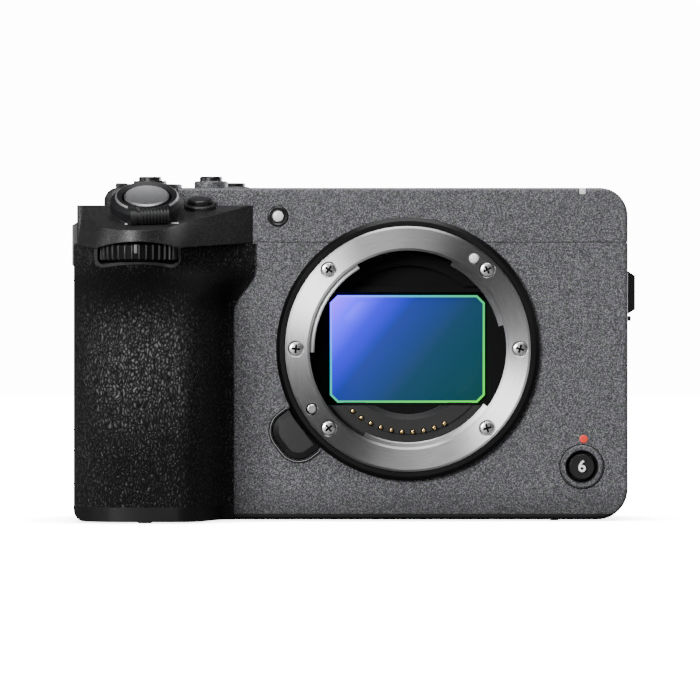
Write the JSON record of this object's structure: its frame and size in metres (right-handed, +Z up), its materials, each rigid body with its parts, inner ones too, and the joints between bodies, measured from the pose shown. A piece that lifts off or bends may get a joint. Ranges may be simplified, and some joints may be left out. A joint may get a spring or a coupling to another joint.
{
  "type": "cinema camera body",
  "caption": "Box-shaped cinema camera body with a leather-covered grip, open bayonet lens mount showing the sensor, side-hinged monitor, dials, doors and accessory threads.",
  "frame": {"origin": "mouth of the tripod socket in the base, under the optical axis", "axes": "+X towards the side with the ports, +Y towards the monitor at the back, +Z up; the lens mount faces -Y"},
  "size_m": [0.1334, 0.084, 0.0813],
  "materials": {
    "body_paint": "fine speckled paint",
    "black_plastic": "satin black moulding",
    "grip_leather": "pebble grain",
    "mount_steel": "turned",
    "screw_steel": "bright",
    "dark_steel": "blackened",
    "gold_contact": "gold plated",
    "sensor_filter": "coated filter glass",
    "button_grey": "satin grey",
    "button_black": "black gloss",
    "lamp_white": "diffuse white",
    "screen_glass": "black glass",
    "cast_alloy": "die cast",
    "rubber_black": "matt",
    "board": "solder mask"
  },
  "bodies": {
    "camera_body": {"front_cover": "body_paint", "top_cover": "body_paint", "rear_cover": "body_paint", "base_plate": "black_plastic", "grip_core": "black_plastic", "grip_leather": "grip_leather", "grip_top_cover": "black_plastic", "inner_chassis": "cast_alloy", "mount_surround": "black_plastic", "bayonet_ring": "mount_steel", "mount_screws": "screw_steel", "contact_block": "black_plastic", "shutter_frame": "black_plastic", "main_board": "board", "port_connectors": "dark_steel", "heat_sink": "cast_alloy", "accessory_shoe": "dark_steel", "strap_lugs": "dark_steel", "thread_inserts": "screw_steel", "lamp_windows": "lamp_white", "case_screws": "dark_steel"},
    "shutter_button": {"shutter_button": "button_grey"},
    "zoom_lever": {"zoom_lever": "button_black"},
    "front_dial": {"front_dial": "button_black"},
    "grip_button": {"grip_button": "button_black"},
    "front_record_button": {"front_record_button": "button_black"},
    "top_record_button": {"top_record_button": "button_black"},
    "top_button_rear": {"top_button_rear": "button_black"},
    "top_button_side": {"top_button_side": "button_black"},
    "power_switch": {"power_switch": "black_plastic"},
    "lens_release_button": {"lens_release_button": "black_plastic"},
    "lens_lock_pin": {"lens_lock_pin": "screw_steel"},
    "contact_pins": {"contact_pins": "gold_contact"},
    "stabiliser_carriage": {"stabiliser_carriage": "cast_alloy"},
    "shutter_blade_lead": {"shutter_blade_lead": "dark_steel"},
    "shutter_blade_middle": {"shutter_blade_middle": "dark_steel"},
    "shutter_blade_trail": {"shutter_blade_trail": "dark_steel"},
    "fan_impeller": {"fan_impeller": "black_plastic"},
    "monitor_hinge": {"monitor_hinge": "black_plastic"},
    "rear_dial": {"rear_dial": "button_black"},
    "control_wheel": {"control_wheel": "button_black"},
    "centre_button": {"centre_button": "button_black"},
    "joystick_gimbal": {"joystick_gimbal": "dark_steel"},
    "joystick_cap": {"joystick_cap": "rubber_black"},
    "menu_button": {"menu_button": "button_black"},
    "fn_button": {"fn_button": "button_black"},
    "playback_button": {"playback_button": "button_black"},
    "delete_button": {"delete_button": "button_black"},
    "card_door": {"card_door": "body_paint"},
    "memory_cards": {"memory_cards": "black_plastic"},
    "battery_door": {"battery_door": "black_plastic"},
    "battery_pack": {"battery_pack": "black_plastic"},
    "battery_door_latch": {"battery_door_latch": "black_plastic"},
    "port_cover_upper": {"port_cover_upper": "rubber_black"},
    "port_cover_middle": {"port_cover_middle": "rubber_black"},
    "port_cover_lower": {"port_cover_lower": "rubber_black"},
    "sensor_unit": {"sensor_holder": "black_plastic", "sensor_glass": "sensor_filter"},
    "monitor_panel": {"monitor_shell": "black_plastic", "monitor_screen": "screen_glass"}
  },
  "joints": [
    {"name": "shutter_button_press", "type": "slide", "parent": "camera_body", "child": "shutter_button", "axis": [0, 0.4695, -0.8829], "range_m": [0, 0.0008], "stiffness_N_per_m": 400},
    {"name": "zoom_lever_turn", "type": "hinge", "parent": "camera_body", "child": "zoom_lever", "pos_m": [-0.0608, -0.033, 0.0758], "axis": [0, -0.4695, 0.8829], "range_deg": [-20, 20], "stiffness_Nm_per_rad": 0.02},
    {"name": "grip_button_press", "type": "slide", "parent": "camera_body", "child": "grip_button", "axis": [0, 0.2588, -0.9659], "range_m": [0, 0.0008], "stiffness_N_per_m": 400},
    {"name": "front_record_press", "type": "slide", "parent": "camera_body", "child": "front_record_button", "axis": [0, 1, 0], "range_m": [0, 0.0008], "stiffness_N_per_m": 400},
    {"name": "top_record_press", "type": "slide", "parent": "camera_body", "child": "top_record_button", "axis": [0, 0, -1], "range_m": [0, 0.0008], "stiffness_N_per_m": 400},
    {"name": "top_button_rear_press", "type": "slide", "parent": "camera_body", "child": "top_button_rear", "axis": [0, 0, -1], "range_m": [0, 0.0008], "stiffness_N_per_m": 400},
    {"name": "top_button_side_press", "type": "slide", "parent": "camera_body", "child": "top_button_side", "axis": [0, 0, -1], "range_m": [0, 0.0008], "stiffness_N_per_m": 400},
    {"name": "power_switch_turn", "type": "hinge", "parent": "camera_body", "child": "power_switch", "pos_m": [-0.06115, 0.008, 0.079], "axis": [0, 0, 1], "range_deg": [0, 30]},
    {"name": "lens_release_press", "type": "slide", "parent": "camera_body", "child": "lens_release_button", "axis": [0, 1, 0], "range_m": [0, 0.0018], "stiffness_N_per_m": 600},
    {"name": "lock_pin_draw", "type": "slide", "parent": "camera_body", "child": "lens_lock_pin", "axis": [0, 1, 0], "range_m": [0, 0.0015]},
    {"name": "contact_pins_press", "type": "slide", "parent": "camera_body", "child": "contact_pins", "axis": [0, 1, 0], "range_m": [0, 0.0005], "stiffness_N_per_m": 600},
    {"name": "stabiliser_shift", "type": "slide", "parent": "camera_body", "child": "stabiliser_carriage", "axis": [1, 0, 0], "range_m": [-0.001, 0.001], "stiffness_N_per_m": 5000},
    {"name": "sensor_shift", "type": "slide", "parent": "stabiliser_carriage", "child": "sensor_unit", "axis": [0, 0, 1], "range_m": [-0.001, 0.001], "stiffness_N_per_m": 5000},
    {"name": "shutter_lead_rise", "type": "slide", "parent": "camera_body", "child": "shutter_blade_lead", "axis": [0, 0, 1], "range_m": [0, 0.028]},
    {"name": "shutter_middle_rise", "type": "slide", "parent": "camera_body", "child": "shutter_blade_middle", "axis": [0, 0, 1], "range_m": [0, 0.019]},
    {"name": "shutter_trail_rise", "type": "slide", "parent": "camera_body", "child": "shutter_blade_trail", "axis": [0, 0, 1], "range_m": [0, 0.01]},
    {"name": "fan_spin", "type": "hinge", "parent": "camera_body", "child": "fan_impeller", "pos_m": [0.012, 0.018, 0.036], "axis": [0, 1, 0], "continuous": true},
    {"name": "front_dial_spin", "type": "hinge", "parent": "camera_body", "child": "front_dial", "pos_m": [-0.0627, -0.0378, 0.0623], "axis": [0, 0, 1], "continuous": true},
    {"name": "rear_dial_spin", "type": "hinge", "parent": "camera_body", "child": "rear_dial", "pos_m": [-0.0646, 0.0206, 0.0703], "axis": [0, 0, 1], "continuous": true},
    {"name": "control_wheel_spin", "type": "hinge", "parent": "camera_body", "child": "control_wheel", "pos_m": [-0.0525, 0.027, 0.028], "axis": [0, 1, 0], "continuous": true},
    {"name": "centre_button_press", "type": "slide", "parent": "camera_body", "child": "centre_button", "axis": [0, -1, 0], "range_m": [0, 0.0006], "stiffness_N_per_m": 400},
    {"name": "menu_button_press", "type": "slide", "parent": "camera_body", "child": "menu_button", "axis": [0, -1, 0], "range_m": [0, 0.0005], "stiffness_N_per_m": 400},
    {"name": "fn_button_press", "type": "slide", "parent": "camera_body", "child": "fn_button", "axis": [0, -1, 0], "range_m": [0, 0.0005], "stiffness_N_per_m": 400},
    {"name": "playback_button_press", "type": "slide", "parent": "camera_body", "child": "playback_button", "axis": [0, -1, 0], "range_m": [0, 0.0005], "stiffness_N_per_m": 400},
    {"name": "delete_button_press", "type": "slide", "parent": "camera_body", "child": "delete_button", "axis": [0, -1, 0], "range_m": [0, 0.0005], "stiffness_N_per_m": 400},
    {"name": "joystick_tilt_up", "type": "hinge", "parent": "camera_body", "child": "joystick_gimbal", "pos_m": [-0.0415, 0.02365, 0.0505], "axis": [1, 0, 0], "range_deg": [-8, 8], "stiffness_Nm_per_rad": 0.01},
    {"name": "joystick_tilt_side", "type": "hinge", "parent": "joystick_gimbal", "child": "joystick_cap", "pos_m": [-0.0415, 0.02365, 0.0505], "axis": [0, 0, 1], "range_deg": [-8, 8], "stiffness_Nm_per_rad": 0.01},
    {"name": "monitor_open", "type": "hinge", "parent": "camera_body", "child": "monitor_hinge", "pos_m": [0.0486, 0.0299, 0.036], "axis": [0, 0, -1], "range_deg": [0, 176]},
    {"name": "monitor_tilt", "type": "hinge", "parent": "monitor_hinge", "child": "monitor_panel", "pos_m": [0.039, 0.0302, 0.036], "axis": [1, 0, 0], "range_deg": [0, 36]},
    {"name": "card_door_open", "type": "hinge", "parent": "camera_body", "child": "card_door", "pos_m": [-0.077, 0.0236, 0.031], "axis": [0, 0, -1], "range_deg": [0, 90]},
    {"name": "cards_slide_out", "type": "slide", "parent": "camera_body", "child": "memory_cards", "axis": [-1, 0, 0], "range_m": [0, 0.0035]},
    {"name": "battery_door_open", "type": "hinge", "parent": "camera_body", "child": "battery_door", "pos_m": [-0.0482, -0.013, 0.0007], "axis": [0, -1, 0], "range_deg": [0, 100]},
    {"name": "battery_slide_out", "type": "slide", "parent": "camera_body", "child": "battery_pack", "axis": [0, 0, -1], "range_m": [0, 0.004]},
    {"name": "battery_latch_slide", "type": "slide", "parent": "battery_door", "child": "battery_door_latch", "axis": [1, 0, 0], "range_m": [0, 0.003], "stiffness_N_per_m": 200},
    {"name": "port_cover_upper_open", "type": "hinge", "parent": "camera_body", "child": "port_cover_upper", "pos_m": [0.051, 0.0052, 0.0513], "axis": [0, 0, -1], "range_deg": [0, 100]},
    {"name": "port_cover_middle_open", "type": "hinge", "parent": "camera_body", "child": "port_cover_middle", "pos_m": [0.051, 0.0052, 0.0368], "axis": [0, 0, -1], "range_deg": [0, 100]},
    {"name": "port_cover_lower_open", "type": "hinge", "parent": "camera_body", "child": "port_cover_lower", "pos_m": [0.051, 0.0052, 0.021], "axis": [0, 0, -1], "range_deg": [0, 100]}
  ],
  "couplings": [
    {"joint": "lock_pin_draw", "follows": "lens_release_press", "ratio": 0.83},
    {"joint": "shutter_middle_rise", "follows": "shutter_lead_rise", "ratio": 0.6667},
    {"joint": "shutter_trail_rise", "follows": "shutter_lead_rise", "ratio": 0.3333},
    {"joint": "monitor_tilt", "follows": "monitor_open", "ratio": 0.2},
    {"joint": "card_door_open", "follows": "cards_slide_out", "rad_per_m": 448.8},
    {"joint": "battery_door_open", "follows": "battery_slide_out", "rad_per_m": 436.33}
  ]
}
